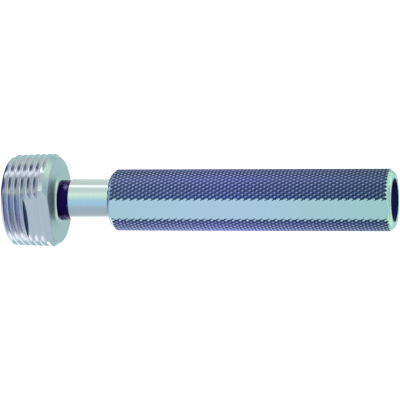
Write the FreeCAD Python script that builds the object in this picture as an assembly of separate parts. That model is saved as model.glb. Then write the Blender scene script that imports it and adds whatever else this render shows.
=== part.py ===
import FreeCAD, Part
import math
import os

# A taper pipe thread plug gauge, 1 inch, screwed by hand into tapped holes to test them.
#
# It is two pieces of steel. The gauge member is turned and ground from one bar: the threaded plug
# with its milled gauging step, a relief neck, and a ground shank that runs on as a slow taper. The
# handle is a tube with a tapered socket at each end and a flat along it for marking. The member's
# taper is driven into one socket and holds there by itself; the other socket stays open.
#
# Millimetres. +Z runs along the axis, from the small end of the thread to the open end of the
# handle. The origin is the middle of the small end's face, on which the gauge stands. The gauging
# step faces -Y. The fine diamond knurl on the handle is left to its surface finish.

# Thread: 55 degree form, right hand
threads_per_inch = 11
flank_angle = 27.5            # each flank, from square to the axis
flat_by_pitch = 1 / 6         # width of the crests' and the roots' flats
thread_taper = 1 / 16         # on the diameter
gauge_diameter = 33.249       # over the crests, in the gauge plane
gauge_plane = 10.391          # from the small end
thread_start = -14.0          # degrees from +X to where a groove crosses the small end's face
run_out_angle = 182.0         # degrees from +X to where the cutter leaves, in the last turn
full_turns = 6                # of the groove, before that last part of a turn

# Plug
plug_length = 17.4
front_chamfer_length = 1.4    # along the axis, at the small end
front_chamfer_depth = 1.3
rear_chamfer_length = 1.7     # along the axis, at the large end
rear_chamfer_depth = 1.6
step_height = 8.3             # from the small end to the shoulder of the gauging step
step_depth = 3.4              # of the milled flat, under the crests at the large end

# Neck and shank
neck_length = 4.7
neck_undercut = 0.6           # the neck's surface under the shank's
neck_fillet = 1.0             # where the neck runs into the plug
shoulder_chamfer = 0.4        # on the shank, over the neck
shank_length = 15.6           # ground shank in the open, up to the handle
shank_taper = 1 / 50          # on the diameter, alike in the shank and the sockets
seat_length = 24.5            # shank inside the handle
seat_chamfer = 0.8            # on the shank's hidden end

# Handle
handle_length = 101.3
handle_diameter = 22.0
handle_turn = -6.5            # degrees from the gauging step round to the handle's flat
flat_depth = 0.85
end_chamfer_length = 1.6      # along the axis, outside, at both ends
end_chamfer_depth = 1.35
mouth_diameter = 15.0         # of both sockets, in the handle's end faces
mouth_chamfer = 0.2
socket_relief = 2.0           # socket beyond the end of the shank
drift_clearance = 0.4         # through bore under the sockets' small ends, for a drift

pitch = 25.4 / threads_per_inch
neck_top = plug_length + neck_length
handle_bottom = neck_top + shank_length
handle_top = handle_bottom + handle_length
shank_top = handle_bottom + seat_length
socket_length = seat_length + socket_relief

ORIGIN = FreeCAD.Vector(0, 0, 0)
UP = FreeCAD.Vector(0, 0, 1)


def crest_radius(z):
    """Radius over the thread's crests at a height."""
    return gauge_diameter / 2 + (z - gauge_plane) * thread_taper / 2


def taper_radius(depth):
    """Radius of the shank, and of the socket round it, at a depth inside the handle's end face."""
    return (mouth_diameter - depth * shank_taper) / 2


def on_profile(radius, z):
    return FreeCAD.Vector(radius, 0, z)


def line(start, end):
    return Part.LineSegment(on_profile(*start), on_profile(*end)).toShape()


def lines(points):
    """Straight edges from each (radius, height) point to the next."""
    return [line(start, end) for start, end in zip(points, points[1:])]


def turned(edges):
    """A solid turned about Z from the closed outline that the edges make."""
    return Part.Face(Part.Wire(edges)).revolve(ORIGIN, UP, 360)


def groove_section(z):
    """Section of the thread's groove with its middle at a height, open a little over the crests."""
    lean = math.tan(math.radians(flank_angle))
    root_half = flat_by_pitch * pitch / 2
    thread_depth = (pitch / 2 - 2 * root_half) / lean
    root = crest_radius(z) - thread_depth
    mouth = crest_radius(z) + pitch / 40
    mouth_half = root_half + (mouth - root) * lean
    return Part.Wire(lines([
        (mouth, z - mouth_half),
        (root, z - root_half),
        (root, z + root_half),
        (mouth, z + mouth_half),
        (mouth, z - mouth_half),
    ]))


def thread_groove():
    """The cut that makes the thread: its section swept from below the small end up a conical
    helix, and straight off along the tangent where the cutter leaves."""
    last_turn = (run_out_angle - thread_start) / 360
    start = -pitch
    end = (full_turns + last_turn) * pitch
    cone_angle = math.degrees(math.atan(thread_taper / 2))
    helix = Part.makeLongHelix(pitch, end - start, crest_radius(start), cone_angle)
    helix.translate(UP * start)
    last = helix.Edges[-1]
    leaving = last.valueAt(last.LastParameter)
    reach = math.sqrt(2 * crest_radius(end) * pitch)
    way_out = Part.LineSegment(leaving, leaving + last.tangentAt(last.LastParameter) * reach)
    sweep = Part.BRepOffsetAPI.MakePipeShell(Part.Wire(helix.Edges + [way_out.toShape()]))
    sweep.setBiNormalMode(UP)
    sweep.add(groove_section(start))
    sweep.build()
    sweep.makeSolid()
    groove = sweep.shape()
    groove.rotate(ORIGIN, UP, thread_start)
    return groove


def threaded_plug():
    """The tapered plug: turned with chamfered ends, threaded, then milled flat above the step."""
    front = front_chamfer_length
    rear = plug_length - rear_chamfer_length
    blank = turned(lines([
        (0, 0),
        (crest_radius(0) - front_chamfer_depth, 0),
        (crest_radius(front), front),
        (crest_radius(rear), rear),
        (crest_radius(plug_length) - rear_chamfer_depth, plug_length),
        (0, plug_length),
        (0, 0),
    ]))
    reach = 2 * crest_radius(plug_length)
    milled = Part.makeBox(reach, reach, plug_length)
    flat_y = step_depth - crest_radius(plug_length)
    milled.translate(FreeCAD.Vector(-reach / 2, flat_y - reach, step_height))
    return blank.cut(thread_groove()).cut(milled)


def neck_and_shank():
    """The relief neck, and the shank that tapers from there to its end inside the handle."""
    shank = taper_radius(-shank_length)
    neck = shank - neck_undercut
    end = taper_radius(seat_length - seat_chamfer)
    foot = neck + neck_fillet
    lean = neck_fillet * math.sqrt(0.5)
    fillet = Part.Arc(
        on_profile(foot, plug_length),
        on_profile(foot - lean, plug_length + neck_fillet - lean),
        on_profile(neck, plug_length + neck_fillet),
    ).toBSpline().toShape()
    below = [(0, plug_length), (foot, plug_length)]
    above = [
        (neck, plug_length + neck_fillet),
        (neck, neck_top),
        (shank - shoulder_chamfer, neck_top),
        (taper_radius(shoulder_chamfer - shank_length), neck_top + shoulder_chamfer),
        (end, shank_top - seat_chamfer),
        (end - seat_chamfer, shank_top),
        (0, shank_top),
        (0, plug_length),
    ]
    return turned(lines(below) + [fillet] + lines(above))


def gauge_member():
    """Plug, neck and shank, which are one piece of steel."""
    return threaded_plug().fuse(neck_and_shank()).removeSplitter()


def socket(face_z, inward):
    """The space of a tapered socket, with its mouth chamfer, going inward from an end face."""
    mouth = mouth_diameter / 2 + mouth_chamfer
    space = turned(lines([
        (0, 0),
        (mouth, 0),
        (taper_radius(mouth_chamfer), mouth_chamfer),
        (taper_radius(socket_length), socket_length),
        (0, socket_length),
        (0, 0),
    ]))
    if inward < 0:
        space.rotate(ORIGIN, FreeCAD.Vector(1, 0, 0), 180)
    space.translate(UP * face_z)
    return space


def handle():
    """The tube: chamfered ends, the flat, two tapered sockets and the bore between them."""
    outside = handle_diameter / 2
    body = turned(lines([
        (0, handle_bottom),
        (outside - end_chamfer_depth, handle_bottom),
        (outside, handle_bottom + end_chamfer_length),
        (outside, handle_top - end_chamfer_length),
        (outside - end_chamfer_depth, handle_top),
        (0, handle_top),
        (0, handle_bottom),
    ]))
    milled = Part.makeBox(handle_diameter, handle_diameter, handle_length)
    milled.translate(FreeCAD.Vector(-outside, flat_depth - outside - handle_diameter, handle_bottom))
    milled.rotate(ORIGIN, UP, handle_turn)
    bore_radius = taper_radius(socket_length) - drift_clearance
    bore = Part.makeCylinder(bore_radius, handle_length, UP * handle_bottom)
    lower_socket = socket(handle_bottom, 1)
    upper_socket = socket(handle_top, -1)
    return body.cut([milled, bore, lower_socket, upper_socket])


nodes = {
    "gauge_member": gauge_member(),
    "handle": handle(),
}

os.makedirs("parts", exist_ok=True)
for name, shape in nodes.items():
    shape.exportStep("parts/" + name + ".step")
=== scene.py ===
import math

import bpy
from mathutils import Matrix, Vector


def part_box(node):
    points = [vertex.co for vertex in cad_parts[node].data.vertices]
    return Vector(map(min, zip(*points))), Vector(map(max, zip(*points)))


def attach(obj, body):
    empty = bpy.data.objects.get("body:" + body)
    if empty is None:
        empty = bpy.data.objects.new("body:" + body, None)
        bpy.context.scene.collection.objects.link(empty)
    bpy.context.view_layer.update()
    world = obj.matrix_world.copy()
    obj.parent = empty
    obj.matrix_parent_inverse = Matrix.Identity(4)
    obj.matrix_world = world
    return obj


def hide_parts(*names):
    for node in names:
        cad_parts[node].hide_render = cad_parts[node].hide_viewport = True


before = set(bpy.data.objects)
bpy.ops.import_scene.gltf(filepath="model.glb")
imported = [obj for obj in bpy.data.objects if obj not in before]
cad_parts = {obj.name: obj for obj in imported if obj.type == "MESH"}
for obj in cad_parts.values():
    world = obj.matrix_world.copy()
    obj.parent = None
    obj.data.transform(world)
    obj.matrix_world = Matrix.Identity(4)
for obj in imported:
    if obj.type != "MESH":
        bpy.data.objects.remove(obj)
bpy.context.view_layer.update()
bpy.ops.object.select_all(action="DESELECT")

# ------------------------------------------------------------------------------ gauge member
# One bar of hardened tool steel, turned and then ground: a tapered pipe thread with a milled
# gauging step, a neck that keeps its dark hardening scale, and a bright shank that runs on as a
# slow taper into the handle. Lengths are in millimetres, and heights go up from the small end.
mm = 0.001
pitch = 25.4 / 11
flank_angle = 27.5                    # degrees, of each flank from square to the axis
thread_depth = 0.6403 * pitch
thread_taper = 1 / 16                 # on the diameter
gauge_radius = 33.249 / 2             # over the crests, in the gauge plane
gauge_plane = 10.391
thread_start = -14                    # degrees from +X to where the groove begins
run_out_angle = 182                   # degrees from +X to where the groove runs out
full_turns = 6
run_out_height = (full_turns + (run_out_angle - thread_start) / 360) * pitch
plug_length = 17.4
front_chamfer_length = 1.4
front_chamfer_depth = 1.3
rear_chamfer_length = 1.7
rear_chamfer_depth = 1.6
step_height = 8.3
step_depth = 3.4
shank_taper = 1 / 50                  # on the diameter
mouth_radius = 7.5                    # of the handle's sockets
around = 160                          # facets round the turned surfaces

handle_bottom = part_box("handle")[0].z / mm
shank_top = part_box("gauge_member")[1].z / mm


def crest_radius(z):
    """Radius over the thread's crests at a height."""
    return gauge_radius + (z - gauge_plane) * thread_taper / 2


def shank_radius(z):
    """Radius of the tapered shank at a height."""
    return mouth_radius - (z - handle_bottom) * shank_taper / 2


def rounded(centre, radius, start, end, steps):
    """Points of an arc in an outline, from one angle to another in degrees."""
    turns = [math.radians(start + (end - start) * step / steps) for step in range(steps + 1)]
    return [(centre[0] + radius * math.cos(a), centre[1] + radius * math.sin(a)) for a in turns]


def outline(name, points):
    """A wire in the XZ plane, pulled as one vertex from each (radius, height) to the next."""
    bpy.ops.mesh.primitive_plane_add(size=mm)
    wire = bpy.context.object
    wire.name = name
    bpy.ops.object.mode_set(mode="EDIT")
    bpy.ops.mesh.select_mode(type="VERT")
    bpy.ops.mesh.merge(type="CENTER")
    bpy.ops.transform.translate(value=(points[0][0] * mm, 0, points[0][1] * mm))
    for before, point in zip(points, points[1:]):
        step = ((point[0] - before[0]) * mm, 0, (point[1] - before[1]) * mm)
        bpy.ops.mesh.extrude_vertices_move(TRANSFORM_OT_translate={"value": step})
    bpy.ops.object.mode_set(mode="OBJECT")
    return wire


def turned(wire, rise=0.0, turns=1, facets=around):
    """Turns an outline about Z into a surface, climbing by rise each turn, and closes its seams."""
    screw = wire.modifiers.new("turn", "SCREW")
    screw.steps = screw.render_steps = facets
    screw.screw_offset = rise * mm
    screw.iterations = turns
    bpy.ops.object.modifier_apply(modifier=screw.name)
    bpy.ops.object.mode_set(mode="EDIT")
    bpy.ops.mesh.select_all(action="SELECT")
    bpy.ops.mesh.remove_doubles(threshold=0.001 * mm)
    bpy.ops.mesh.normals_make_consistent(inside=False)
    bpy.ops.object.mode_set(mode="OBJECT")
    return wire


def combine(piece, tool, operation):
    """Cuts, joins or intersects a piece with a tool, which is used up."""
    boolean = piece.modifiers.new(operation, "BOOLEAN")
    boolean.operation = operation
    boolean.object = tool
    boolean.solver = "EXACT"
    boolean.material_mode = "TRANSFER"
    bpy.context.view_layer.objects.active = piece
    bpy.ops.object.modifier_apply(modifier=boolean.name)
    bpy.data.objects.remove(tool)


# The thread's groove: its section, screwed up for eight turns, tapered, and then led straight
# off along the tangent, where the thread mill left the work.
depth = thread_depth * gauge_radius / crest_radius(0)
crest = crest_radius(0) + 0.02
root = crest_radius(0) - depth
rounding = 0.137278 * pitch           # radius of the crests and the roots
groove_turns = 8
clearance = 0.03                      # between the groove cutter's turns
overlap = 0.06                        # of the groove cutter past the crests
lead_off = (0, 9 * mm, 0.2 * mm)
arc_steps = 7
first = run_out_height - groove_turns * pitch
half_groove = [
    *rounded((root + rounding, first), rounding, 180, 90 + flank_angle, arc_steps),
    *rounded(
        (crest - rounding, first + pitch / 2 - clearance), rounding, flank_angle - 90, 0, arc_steps,
    ),
    (crest + overlap, first + pitch / 2 - clearance),
]
groove = turned(outline("groove", [
    *[(r, 2 * first - z) for r, z in reversed(half_groove)],
    *half_groove[1:],
    (crest + overlap, first - pitch / 2 + clearance),
]), rise=pitch, turns=groove_turns)
taper = groove.modifiers.new("taper", "SIMPLE_DEFORM")
taper.deform_method = "TAPER"
taper.deform_axis = "Z"
taper.factor = thread_taper / 2 / crest_radius(0) * groove.dimensions.z / mm
bpy.ops.object.modifier_apply(modifier=taper.name)
bpy.ops.object.mode_set(mode="EDIT")
bpy.ops.mesh.select_mode(type="EDGE")
bpy.ops.mesh.select_all(action="DESELECT")
bpy.ops.mesh.select_non_manifold()
bpy.ops.object.mode_set(mode="OBJECT")
for edge in groove.data.edges:
    if groove.data.vertices[edge.vertices[0]].co.z < plug_length / 2 * mm:
        edge.select = False
bpy.ops.object.mode_set(mode="EDIT")
bpy.ops.mesh.extrude_edges_move(TRANSFORM_OT_translate={"value": lead_off})
bpy.ops.mesh.select_all(action="SELECT")
bpy.ops.mesh.fill_holes(sides=0)
bpy.ops.mesh.normals_make_consistent(inside=False)
bpy.ops.object.mode_set(mode="OBJECT")
groove.data.transform(Matrix.Rotation(math.radians(run_out_angle), 4, "Z"))

# The plug's chamfered blank, threaded and then milled flat above the step.
rear_chamfer_start = plug_length - rear_chamfer_length
member = turned(outline("gauge_member_steel", [
    (0, 0),
    (crest_radius(0) - front_chamfer_depth, 0),
    (crest_radius(front_chamfer_length), front_chamfer_length),
    (crest_radius(rear_chamfer_start), rear_chamfer_start),
    (crest_radius(plug_length) - rear_chamfer_depth, plug_length),
    (0, plug_length),
]))
combine(member, groove, "DIFFERENCE")
bpy.ops.mesh.primitive_cube_add(size=1)
mill = bpy.context.object
reach = 2 * crest_radius(plug_length)
bpy.ops.object.mode_set(mode="EDIT")
bpy.ops.transform.resize(value=(reach * mm, reach * mm, plug_length * mm))
bpy.ops.transform.translate(value=(
    0,
    (step_depth - crest_radius(plug_length) - reach / 2) * mm,
    (step_height + plug_length / 2) * mm,
))
bpy.ops.object.mode_set(mode="OBJECT")
combine(member, mill, "DIFFERENCE")

# Neck and shank, sunk a little into the plug so that they join it.
neck = 7.2                            # radius
fillet = 1.6
neck_top = 22.1
shoulder = shank_radius(neck_top)
shoulder_chamfer = 0.5
tail_chamfer = 0.8
sunk = 2
tail = shank_top - tail_chamfer
shank = turned(outline("shank", [
    (0, plug_length - sunk),
    (neck + fillet, plug_length - sunk),
    *rounded((neck + fillet, plug_length + fillet), fillet, 270, 180, 12),
    (neck, neck_top),
    (shoulder - shoulder_chamfer, neck_top),
    (shoulder, neck_top + shoulder_chamfer),
    (shank_radius(tail), tail),
    (shank_radius(tail) - tail_chamfer, shank_top),
    (0, shank_top),
]))
combine(member, shank, "UNION")
bpy.context.view_layer.objects.active = member
member.select_set(True)
bpy.ops.object.shade_smooth_by_angle(angle=math.radians(10))


def linear(colour):
    """Turns an sRGB hex colour to linear RGBA."""
    values = [int(colour[i:i + 2], 16) / 255 for i in (1, 3, 5)]
    return [v / 12.92 if v <= 0.04045 else ((v + 0.055) / 1.055) ** 2.4 for v in values] + [1]


def add(tree, kind, inputs=(), **settings):
    """Adds a node with its settings, and with values or links for its inputs."""
    node = tree.nodes.new("ShaderNode" + kind)
    for name, value in settings.items():
        setattr(node, name, value)
    for name, value in dict(inputs).items():
        if isinstance(value, bpy.types.NodeSocket):
            tree.links.new(value, node.inputs[name])
        else:
            node.inputs[name].default_value = value
    return node


def blend(tree, factor, first, second):
    """Mixes two colours by a factor."""
    return add(tree, "Mix", {0: factor, 6: first, 7: second}, data_type="RGBA").outputs[2]


def new_material(name):
    """A material with only its output, and its node tree."""
    material = bpy.data.materials.new(name)
    material.use_nodes = True
    material.node_tree.nodes.remove(material.node_tree.nodes["Principled BSDF"])
    return material, material.node_tree


# Cylindrically ground tool steel: bright, with marks that run round it. The neck wasn't ground
# after hardening, so it keeps its blue-black scale, and the scale's edges are uneven. The turned
# rear face is duller. The milled step is painted a shade paler, a painted highlight, and the
# thread's flanks carry painted light, a shade paler and less green, deepest in the roots.
ground, tree = new_material("cylindrically ground tool steel")
place = add(tree, "TexCoord").outputs["Object"]
axes = add(tree, "SeparateXYZ", {0: place})
radius = add(tree, "VectorMath", {
    0: add(tree, "CombineXYZ", {"X": axes.outputs["X"], "Y": axes.outputs["Y"]}).outputs[0],
}, operation="LENGTH").outputs["Value"]
patches = add(tree, "TexNoise", {"Vector": place, "Scale": 260, "Detail": 4}).outputs["Fac"]
edge = add(tree, "Math", {0: patches, 1: 0.6 * mm, 2: axes.outputs["Z"]}, operation="MULTIPLY_ADD")
over = add(tree, "MapRange", {
    0: edge.outputs[0], 1: (plug_length + 1.1) * mm, 2: (plug_length + 1.4) * mm,
}).outputs[0]
under = add(tree, "MapRange", {
    0: radius, 1: (shoulder - 0.25) * mm, 2: (shoulder - 0.15) * mm, 3: 1, 4: 0,
}).outputs[0]
scale = add(tree, "Math", {0: over, 1: under}, operation="MULTIPLY").outputs[0]
marks = add(tree, "TexNoise", {
    "Vector": add(tree, "VectorMath", {0: place, 1: (30, 30, 3000)}, operation="MULTIPLY").outputs[0],
    "Scale": 1, "Detail": 2,
}).outputs["Fac"]
blotch = add(tree, "MapRange", {0: patches, 1: 0.58, 2: 0.7}).outputs[0]
scale_colour = blend(tree, blotch, linear("#1A1048"), linear("#5A5480"))
faced = add(tree, "Math", {0: axes.outputs["Z"], 1: plug_length * mm, 2: 0.2 * mm}, operation="COMPARE")
polish = add(tree, "MapRange", {0: marks, 1: 0.3, 2: 0.7, 3: 0.12, 4: 0.2}).outputs[0]
# The milled step's face: its colour is painted a shade paler, a painted highlight.
milled = add(tree, "Math", {
    0: axes.outputs["Y"], 1: (step_depth - crest_radius(plug_length)) * mm, 2: 0.05 * mm,
}, operation="COMPARE")
# Painted light in the thread's grooves: the colour turns a shade paler and less green towards the roots.
in_groove = add(tree, "MapRange", {
    0: add(tree, "Math", {
        0: axes.outputs["Z"], 1: thread_taper / 2, 2: (crest_radius(0) - 0.35) * mm,
    }, operation="MULTIPLY_ADD").outputs[0],
    1: radius,
    2: add(tree, "Math", {0: radius, 1: 0.8 * mm}, operation="ADD").outputs[0],
}).outputs[0]
threaded = add(tree, "MapRange", {0: axes.outputs["Z"], 1: 16.2 * mm, 2: 16 * mm}).outputs[0]
flanks_painted_light = add(tree, "Math", {0: in_groove, 1: threaded}, operation="MULTIPLY").outputs[0]
flanks_painted_light = add(
    tree, "Math", {0: flanks_painted_light, 1: milled.outputs[0]}, operation="SUBTRACT", use_clamp=True,
)
steel_colour = blend(tree, milled.outputs[0], linear("#CBD7DA"), linear("#E0E8E6"))
steel_colour = blend(tree, flanks_painted_light.outputs[0], steel_colour, linear("#DEDCE6"))
surface = add(tree, "BsdfPrincipled", {
    "Base Color": blend(tree, scale, steel_colour, scale_colour),
    "Metallic": 1,
    "Roughness": add(tree, "MapRange", {0: faced.outputs[0], 3: polish, 4: 0.45}).outputs[0],
    "Normal": add(tree, "Bump", {"Height": marks, "Strength": 0.1, "Distance": 0.01 * mm}).outputs[0],
})
tree.links.new(surface.outputs[0], tree.nodes["Material Output"].inputs["Surface"])
member.data.materials.clear()
member.data.materials.append(ground)

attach(member, "root")
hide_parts("gauge_member")

# ------------------------------------------------------------------------------------ handle
# A steel tube with a rolled diamond knurl, end chamfers, a ground flat for marking, and a 1:50
# tapered socket in each end. Knurls, 1.5 mm round the handle and 2.57 mm along it, are rolled in
# first. The ends are then turned and the flat is ground, which cuts the diamonds off clean.
handle_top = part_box("handle")[1].z / mm
handle_radius = 11.0                  # over the knurl's crests
knurls_round = 46
knurl_length = 2.57
knurl_depth = 0.38
handle_turn = math.radians(-6.5)      # from the gauging step round to the flat
side_width = 0.44                     # of the diamonds' sloping sides
shallow_by = 0.18
flat_depth = 0.85
end_chamfer_length = 1.6              # along the axis
end_chamfer_depth = 1.35
mouth_chamfer = 0.2
socket_length = 26.5
drift_clearance = 0.4                 # bore's wall under the sockets' small ends

# The knurled bar: squares are poked to their middles and lose their old edges, which leaves
# diamonds, and each diamond is raised with sloping sides.
rows = math.ceil((handle_top - handle_bottom) / knurl_length) + 2
groove_radius = handle_radius - knurl_depth
low = (handle_bottom + handle_top - rows * knurl_length) / 2
bar = outline("knurled_handle", [(groove_radius, low), (groove_radius, low + rows * knurl_length)])
bpy.ops.object.mode_set(mode="EDIT")
bpy.ops.mesh.select_all(action="SELECT")
bpy.ops.mesh.subdivide(number_cuts=rows - 1)
bpy.ops.object.mode_set(mode="OBJECT")
knurled = turned(bar, facets=knurls_round)
corners = len(knurled.data.vertices)
bpy.ops.object.mode_set(mode="EDIT")
bpy.ops.mesh.poke()
bpy.ops.mesh.select_mode(type="EDGE")
bpy.ops.mesh.select_all(action="DESELECT")
bpy.ops.object.mode_set(mode="OBJECT")
for edge in knurled.data.edges:
    edge.select = max(edge.vertices) < corners
bpy.ops.object.mode_set(mode="EDIT")
bpy.ops.mesh.dissolve_edges(use_verts=False)
bpy.ops.object.mode_set(mode="OBJECT")
cast = knurled.modifiers.new("round", "CAST")
cast.cast_type = "CYLINDER"
cast.use_z = False
cast.factor = 1
cast.use_radius_as_size = False
cast.size = groove_radius * mm
bpy.ops.object.modifier_apply(modifier=cast.name)
bpy.ops.object.mode_set(mode="EDIT")
bpy.ops.mesh.select_mode(type="FACE")
bpy.ops.mesh.select_all(action="SELECT")
bpy.ops.mesh.inset(use_individual=True, thickness=side_width * mm, depth=knurl_depth * mm)
bpy.ops.mesh.select_mode(type="EDGE")
bpy.ops.mesh.select_all(action="DESELECT")
bpy.ops.object.mode_set(mode="OBJECT")
# One of the two knurl wheels bit less deep, so the middles of its grooves stand higher.
vertices = knurled.data.vertices
for edge in knurled.data.edges:
    start, end = (vertices[i].co for i in edge.vertices)
    in_groove = max(start.to_2d().length, end.to_2d().length) < (groove_radius + 0.1) * mm
    turns_up = start.to_2d().cross(end.to_2d()) * (end.z - start.z) > 0
    edge.select = in_groove and turns_up and abs(end.z - start.z) > 0.1 * mm
bottoms = len(vertices)
bpy.ops.object.mode_set(mode="EDIT")
bpy.ops.mesh.subdivide(number_cuts=1)
bpy.ops.mesh.select_mode(type="VERT")
bpy.ops.mesh.select_all(action="DESELECT")
bpy.ops.object.mode_set(mode="OBJECT")
for vertex in knurled.data.vertices:
    vertex.select = vertex.index >= bottoms
bpy.ops.object.mode_set(mode="EDIT")
bpy.ops.transform.shrink_fatten(value=shallow_by * mm)
bpy.ops.mesh.select_all(action="SELECT")
bpy.ops.mesh.fill_holes(sides=0)
bpy.ops.mesh.normals_make_consistent(inside=False)
bpy.ops.object.mode_set(mode="OBJECT")

# The tube that the knurled bar is turned, ground and bored down to.
rise = end_chamfer_length * (1 + 1 / end_chamfer_depth)     # out to 1 mm over the knurl
mouth_end = mouth_radius - mouth_chamfer * shank_taper / 2
socket_end = mouth_radius - socket_length * shank_taper / 2
bore_radius = socket_end - drift_clearance
tube = turned(outline("tube", [
    (handle_radius + 1, handle_bottom + rise),
    (handle_radius - end_chamfer_depth, handle_bottom),
    (mouth_radius + mouth_chamfer, handle_bottom),
    (mouth_end, handle_bottom + mouth_chamfer),
    (socket_end, handle_bottom + socket_length),
    (bore_radius, handle_bottom + socket_length),
    (bore_radius, handle_top - socket_length),
    (socket_end, handle_top - socket_length),
    (mouth_end, handle_top - mouth_chamfer),
    (mouth_radius + mouth_chamfer, handle_top),
    (handle_radius - end_chamfer_depth, handle_top),
    (handle_radius + 1, handle_top - rise),
    (handle_radius + 1, handle_bottom + rise),
]))
bpy.ops.mesh.primitive_cube_add(size=1)
grinder = bpy.context.object
reach = 3 * handle_radius
bpy.ops.object.mode_set(mode="EDIT")
bpy.ops.transform.resize(value=(reach * mm, reach * mm, 2 * (handle_top - handle_bottom) * mm))
bpy.ops.transform.translate(value=(
    0,
    (flat_depth - handle_radius - reach / 2) * mm,
    (handle_bottom + handle_top) / 2 * mm,
))
bpy.ops.object.mode_set(mode="OBJECT")
grinder.data.transform(Matrix.Rotation(handle_turn, 4, "Z"))

# Rolled knurl in steel with painted shade: the grooves are painted blue-black by their depth, and the crests
# keep the steel's tint, which shifts in hue along the handle as a painted reflection.
knurl, tree = new_material("knurled steel with painted shade and painted reflections")
place = add(tree, "TexCoord").outputs["Object"]
axes = add(tree, "SeparateXYZ", {0: place})
radius = add(tree, "VectorMath", {
    0: add(tree, "CombineXYZ", {"X": axes.outputs["X"], "Y": axes.outputs["Y"]}).outputs[0],
}, operation="LENGTH").outputs["Value"]
# Painted shade: the colour darkens to blue-black from the crests down into the grooves.
painted_shade_by_height = add(tree, "MapRange", {
    0: radius, 1: (groove_radius + shallow_by) * mm, 2: (handle_radius - 0.02) * mm,
}).outputs[0]
along = add(tree, "MapRange", {
    0: axes.outputs["Z"], 1: handle_bottom * mm, 2: handle_top * mm,
}).outputs[0]
# The steel's tint, with a painted reflection that shifts in hue along the handle.
steel_tint_and_painted_reflection = add(tree, "ValToRGB", {0: along})
steel_tint_and_painted_reflection.color_ramp.elements[0].color = linear("#A2B8E2")
steel_tint_and_painted_reflection.color_ramp.elements[1].color = linear("#86A2BC")
steel_tint_and_painted_reflection.color_ramp.elements.new(0.4).color = linear("#A6B2FF")
surface = add(tree, "BsdfPrincipled", {
    "Base Color": blend(tree, painted_shade_by_height, blend(tree, 0.85, steel_tint_and_painted_reflection.outputs[0], linear("#10144A")), steel_tint_and_painted_reflection.outputs[0]),
    "Metallic": 1,
    "Roughness": 0.28,
})
tree.links.new(surface.outputs[0], tree.nodes["Material Output"].inputs["Surface"])
knurled.data.materials.clear()
knurled.data.materials.append(knurl)

# Surface-ground steel on the flat and the ends, with a painted reflection that shades from green
# to blue along the flat.
flat, tree = new_material("surface-ground steel with a painted reflection")
place = add(tree, "TexCoord").outputs["Object"]
height = add(tree, "SeparateXYZ", {0: place}).outputs["Z"]
along = add(tree, "MapRange", {0: height, 1: handle_bottom * mm, 2: handle_top * mm}).outputs[0]
# Painted reflection: the steel's colour shifts from green to blue along the handle.
painted_reflection_ramp = add(tree, "ValToRGB", {0: along})
painted_reflection_ramp.color_ramp.elements[0].color = linear("#DDF2F0")
painted_reflection_ramp.color_ramp.elements[1].color = linear("#D0F2E0")
painted_reflection_ramp.color_ramp.elements.new(0.45).color = linear("#E2F0FA")
surface = add(tree, "BsdfPrincipled", {
    "Base Color": painted_reflection_ramp.outputs[0],
    "Metallic": 1,
    "Roughness": 0.2,
})
tree.links.new(surface.outputs[0], tree.nodes["Material Output"].inputs["Surface"])

# The sockets and the bore are reamed, and painted dark blue as painted shade inside them.
bore, tree = new_material("reamed steel with painted shade")
surface = add(tree, "BsdfPrincipled", {
    "Base Color": linear("#221C5A"),
    "Metallic": 1,
    "Roughness": 0.35,
})
tree.links.new(surface.outputs[0], tree.nodes["Material Output"].inputs["Surface"])
tube.data.materials.append(flat)
tube.data.materials.append(bore)
# The sockets' and the bore's faces take the painted shade.
for face in tube.data.polygons:
    if face.center.to_2d().length < (mouth_radius + 0.3) * mm:
        face.material_index = 1
grinder.data.materials.append(flat)
combine(tube, grinder, "DIFFERENCE")
combine(knurled, tube, "INTERSECT")

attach(knurled, "root")
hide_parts("handle")

# ---------------------------------------------------------------------------------------------
# Stage: a plain white floor, a painted room for the bright steel to mirror, and a long lens. The
# room and the floor give all the light.
# ---------------------------------------------------------------------------------------------

azimuth = math.radians(-25.9)
elevation = math.radians(14.1)

bpy.ops.mesh.primitive_circle_add(vertices=96, radius=3.0, fill_type="NGON")
floor = bpy.context.object
floor.name = "floor"
floor.visible_glossy = False
board, tree = new_material("matt white board")
surface = add(tree, "AddShader", {
    0: add(tree, "BsdfDiffuse", {"Color": linear("#F2F2F2")}).outputs[0],
    1: add(tree, "Emission", {"Strength": 0.95}).outputs[0],
})
tree.links.new(surface.outputs[0], tree.nodes["Material Output"].inputs["Surface"])
floor.data.materials.append(board)

# The room that the bright steel mirrors: shades by direction, first round the gauge at table
# height, and then overhead. Angles are from the camera's side, going towards -X.
world = bpy.data.worlds.new("studio")
world.use_nodes = True
bpy.context.scene.world = world
tree = world.node_tree
direction = add(tree, "TexCoord").outputs["Generated"]
turn = add(tree, "Mapping", {
    "Vector": direction,
    "Rotation": (0, 0, azimuth - math.pi / 2),
    "Scale": (1, -1, 1),
}).outputs[0]
round_about = add(tree, "TexGradient", {"Vector": turn}, gradient_type="RADIAL").outputs["Fac"]
height = add(tree, "SeparateXYZ", {0: direction}).outputs["Z"]


def shades(stops):
    """A colour ramp round the room from (angle, colour) stops."""
    ramp = add(tree, "ValToRGB", {0: round_about})
    stops = [(angle / 360 + 0.5, linear(colour)) for angle, colour in stops]
    elements = ramp.color_ramp.elements
    elements[0].position, elements[0].color = stops[0]
    elements[1].position, elements[1].color = stops[-1]
    for position, colour in stops[1:-1]:
        elements.new(position).color = colour
    return ramp.outputs[0]


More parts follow.
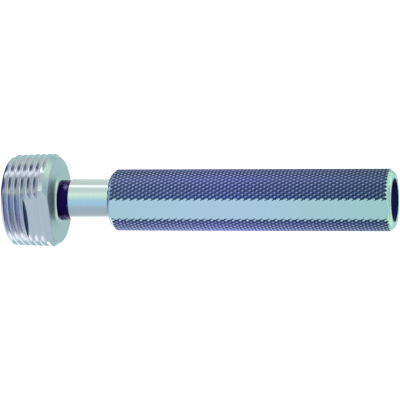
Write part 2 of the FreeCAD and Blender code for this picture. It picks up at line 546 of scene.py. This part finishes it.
table = shades([
    (-180, "#B8BAB4"), (-160, "#F0F2F0"), (-110, "#FFFFFF"), (-97, "#A8ABAE"),
    (-70, "#969FA9"), (-45, "#97A3AE"), (-33, "#98AEBA"), (-14, "#97BAD2"), (0, "#A0BDC0"),
    (22, "#C4D4C8"), (30, "#CCD8CC"), (50, "#B8C4BC"), (72, "#B8C0B8"), (76, "#FFFFFF"),
    (83, "#FFFFFF"), (90, "#B8BAB4"), (180, "#BEC2BC"),
])
low_sky = shades([
    (-180, "#92A8AC"), (-150, "#92A8AC"), (-120, "#9CA8A8"), (-105, "#14164A"), (30, "#14164A"),
    (70, "#7C86A0"), (110, "#9CACA8"), (140, "#8CAAA4"), (180, "#92A8AC"),
])
ground_shades = shades([
    (-180, "#A0A4A4"), (-135, "#C8CCD0"), (-115, "#FFFFFF"), (-98, "#A0A6C0"), (-60, "#6A6890"),
    (14, "#54548C"), (22, "#C0C4BC"), (32, "#C0C4BC"), (40, "#3C4468"), (70, "#3C4468"),
    (77, "#FFFFFF"), (88, "#FFFFFF"), (95, "#2C3060"), (160, "#2C3060"), (175, "#8FA8A4"),
    (180, "#A0A4A4"),
])
up = add(tree, "MapRange", {0: height, 1: -0.1, 2: 0.05}).outputs[0]
zenith = add(tree, "MapRange", {0: height, 1: 0.47, 2: 0.58}).outputs[0]
down = add(tree, "MapRange", {0: height, 1: -0.34, 2: -0.42}).outputs[0]
room = blend(tree, up, blend(tree, down, table, ground_shades), low_sky)
top = add(tree, "MapRange", {0: height, 1: 0.74, 2: 0.86}).outputs[0]
room = blend(tree, zenith, room, blend(tree, top, linear("#BAC8BC"), linear("#8C9CA2")))

seen = add(tree, "LightPath").outputs["Is Camera Ray"]
shown = blend(tree, seen, room, linear("#FFFFFF"))
background = tree.nodes["Background"]
background.inputs["Strength"].default_value = 1.8
tree.links.new(shown, background.inputs["Color"])

aim = Vector((0, 0, 69.2 * mm))
distance = 920.4 * mm
back = Vector((
    math.sin(azimuth) * math.cos(elevation),
    -math.cos(azimuth) * math.cos(elevation),
    math.sin(elevation),
))
up_axis = Vector((0, 0, 1))
right = (up_axis - up_axis.dot(back) * back).normalized()
above = back.cross(right)
bpy.ops.object.camera_add()
camera = bpy.context.object
camera.data.sensor_width = 36
camera.data.lens = 234
camera.data.clip_end = 10
camera.matrix_world = Matrix.Translation(aim + distance * back) @ Matrix(
    (right, above, back)
).transposed().to_4x4()
bpy.context.scene.camera = camera

bpy.context.scene.view_settings.view_transform = "Standard"
